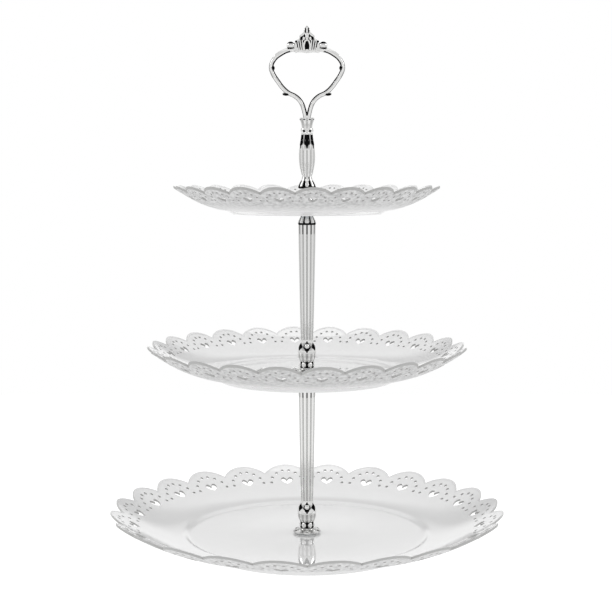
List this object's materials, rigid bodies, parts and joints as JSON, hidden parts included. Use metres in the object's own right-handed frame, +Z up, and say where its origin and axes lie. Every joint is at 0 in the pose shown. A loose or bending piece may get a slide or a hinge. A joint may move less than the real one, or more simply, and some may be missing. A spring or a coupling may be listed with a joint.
{
  "type": "tiered cake stand",
  "caption": "Tiered cake stand: scalloped lace plates threaded on fluted screw-together columns, carried by a crowned loop handle.",
  "frame": {"origin": "on the table, on the axis of the columns", "axes": "+Z up along the columns; the crown handle lies in the XZ plane"},
  "size_m": [0.2776, 0.2776, 0.3678],
  "materials": {
    "plate_plastic": "white moulded plastic, gloss",
    "chrome": "polished chrome plate on cast zinc",
    "zinc_steel": "bright zinc plate on steel",
    "gasket_plastic": "soft translucent plastic, matt"
  },
  "bodies": {
    "bottom_plate": {"bottom_plate": "plate_plastic", "bottom_gasket_over": "gasket_plastic", "bottom_gasket_under": "gasket_plastic"},
    "base_screw": {"base_screw": "zinc_steel", "base_washer": "zinc_steel"},
    "lower_rosette": {"lower_rosette": "chrome"},
    "lower_column": {"lower_column": "chrome", "lower_stud": "zinc_steel", "lower_seat_washer": "zinc_steel"},
    "middle_plate": {"middle_plate": "plate_plastic", "middle_gasket_over": "gasket_plastic", "middle_gasket_under": "gasket_plastic"},
    "upper_rosette": {"upper_rosette": "chrome"},
    "upper_column": {"upper_column": "chrome", "upper_stud": "zinc_steel", "upper_seat_washer": "zinc_steel"},
    "top_plate": {"top_plate": "plate_plastic", "top_gasket_over": "gasket_plastic", "top_gasket_under": "gasket_plastic"},
    "handle_rosette": {"handle_rosette": "chrome"},
    "handle": {"handle_column": "chrome", "handle_cup": "chrome", "crown_loop": "chrome"}
  },
  "joints": [
    {"name": "stack_turn", "type": "hinge", "parent": "bottom_plate", "child": "base_screw", "pos_m": [0, 0, 0.0082], "axis": [0, 0, 1], "continuous": true},
    {"name": "lower_rosette_lift", "type": "slide", "parent": "base_screw", "child": "lower_rosette", "axis": [0, 0, 1], "range_m": [0, 0.01]},
    {"name": "lower_column_screw", "type": "hinge", "parent": "lower_rosette", "child": "lower_column", "pos_m": [0, 0, 0.0116], "axis": [0, 0, 1], "range_deg": [0, 3600.01]},
    {"name": "middle_plate_turn", "type": "hinge", "parent": "lower_column", "child": "middle_plate", "pos_m": [0, 0, 0.1242], "axis": [0, 0, 1], "continuous": true},
    {"name": "upper_rosette_lift", "type": "slide", "parent": "lower_column", "child": "upper_rosette", "axis": [0, 0, 1], "range_m": [0, 0.01]},
    {"name": "upper_column_screw", "type": "hinge", "parent": "upper_rosette", "child": "upper_column", "pos_m": [0, 0, 0.1276], "axis": [0, 0, 1], "range_deg": [0, 3600.01]},
    {"name": "top_plate_turn", "type": "hinge", "parent": "upper_column", "child": "top_plate", "pos_m": [0, 0, 0.2402], "axis": [0, 0, 1], "continuous": true},
    {"name": "handle_rosette_lift", "type": "slide", "parent": "upper_column", "child": "handle_rosette", "axis": [0, 0, 1], "range_m": [0, 0.01]},
    {"name": "handle_screw", "type": "hinge", "parent": "handle_rosette", "child": "handle", "pos_m": [0, 0, 0.2436], "axis": [0, 0, 1], "range_deg": [0, 3600.01]}
  ],
  "couplings": [
    {"joint": "lower_column_screw", "follows": "lower_rosette_lift", "rad_per_m": 6283.2},
    {"joint": "upper_column_screw", "follows": "upper_rosette_lift", "rad_per_m": 6283.2},
    {"joint": "handle_screw", "follows": "handle_rosette_lift", "rad_per_m": 6283.2}
  ]
}
